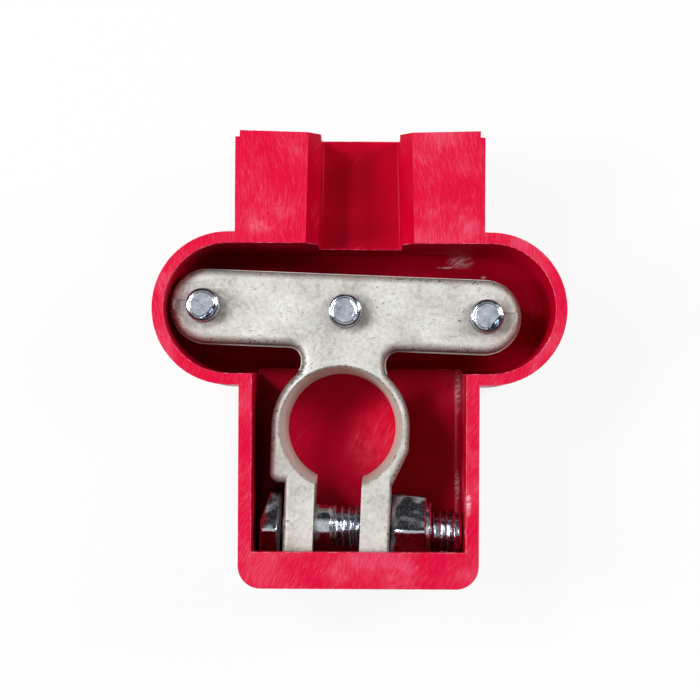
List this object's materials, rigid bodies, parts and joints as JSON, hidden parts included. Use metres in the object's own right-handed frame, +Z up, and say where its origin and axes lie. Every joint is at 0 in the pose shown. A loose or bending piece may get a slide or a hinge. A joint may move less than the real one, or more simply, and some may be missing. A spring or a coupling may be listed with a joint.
{
  "type": "battery terminal clamp",
  "caption": "T-bar battery terminal clamp with a split tapered ring, pinch bolt and cable screws, lying face down in its soft open terminal cover.",
  "frame": {"origin": "middle of the cover's closed back, on the surface it lies on", "axes": "+Z up, out of the open side of the cover; +Y towards the cable channel; +X towards the nut of the clamping bolt"},
  "size_m": [0.0724, 0.0798, 0.028],
  "materials": {
    "cover_red": "soft moulded red plastic with sanded rims",
    "casting": "tumbled as-cast grey alloy",
    "fastener_steel": "bright zinc plated"
  },
  "bodies": {
    "root": {"cover": "cover_red", "clamp_body": "casting"},
    "clamp_bolt": {"clamp_bolt": "fastener_steel"},
    "clamp_nut": {"clamp_nut": "fastener_steel"},
    "washers_left": {"flat_washer_left": "fastener_steel", "spring_washer_left": "fastener_steel"},
    "screw_left": {"bar_screw_left": "fastener_steel"},
    "washers_middle": {"flat_washer_middle": "fastener_steel", "spring_washer_middle": "fastener_steel"},
    "screw_middle": {"bar_screw_middle": "fastener_steel"},
    "washers_right": {"flat_washer_right": "fastener_steel", "spring_washer_right": "fastener_steel"},
    "screw_right": {"bar_screw_right": "fastener_steel"}
  },
  "joints": [
    {"name": "clamp_bolt_turn", "type": "hinge", "parent": "root", "child": "clamp_bolt", "pos_m": [-0.01382, -0.02939, 0.015], "axis": [-0.9994, 0.0349, 0], "range_deg": [0, 1440]},
    {"name": "clamp_nut_travel", "type": "slide", "parent": "root", "child": "clamp_nut", "axis": [0.9994, -0.0349, 0], "range_m": [0, 0.005]},
    {"name": "washers_left_travel", "type": "slide", "parent": "root", "child": "washers_left", "axis": [0, 0, -1], "range_m": [0, 0.0035]},
    {"name": "screw_left_turn", "type": "hinge", "parent": "washers_left", "child": "screw_left", "pos_m": [-0.02756, 0.00961, 0.007], "axis": [0, 0, -1], "range_deg": [0, 1260]},
    {"name": "washers_middle_travel", "type": "slide", "parent": "root", "child": "washers_middle", "axis": [0, 0, -1], "range_m": [0, 0.0035]},
    {"name": "screw_middle_turn", "type": "hinge", "parent": "washers_middle", "child": "screw_middle", "pos_m": [-0.00258, 0.00874, 0.007], "axis": [0, 0, -1], "range_deg": [0, 1260]},
    {"name": "washers_right_travel", "type": "slide", "parent": "root", "child": "washers_right", "axis": [0, 0, -1], "range_m": [0, 0.0035]},
    {"name": "screw_right_turn", "type": "hinge", "parent": "washers_right", "child": "screw_right", "pos_m": [0.0224, 0.00787, 0.007], "axis": [0, 0, -1], "range_deg": [0, 1260]}
  ],
  "couplings": [
    {"joint": "clamp_bolt_turn", "follows": "clamp_nut_travel", "rad_per_m": 5026.5},
    {"joint": "screw_left_turn", "follows": "washers_left_travel", "rad_per_m": 6283.2},
    {"joint": "screw_middle_turn", "follows": "washers_middle_travel", "rad_per_m": 6283.2},
    {"joint": "screw_right_turn", "follows": "washers_right_travel", "rad_per_m": 6283.2}
  ]
}
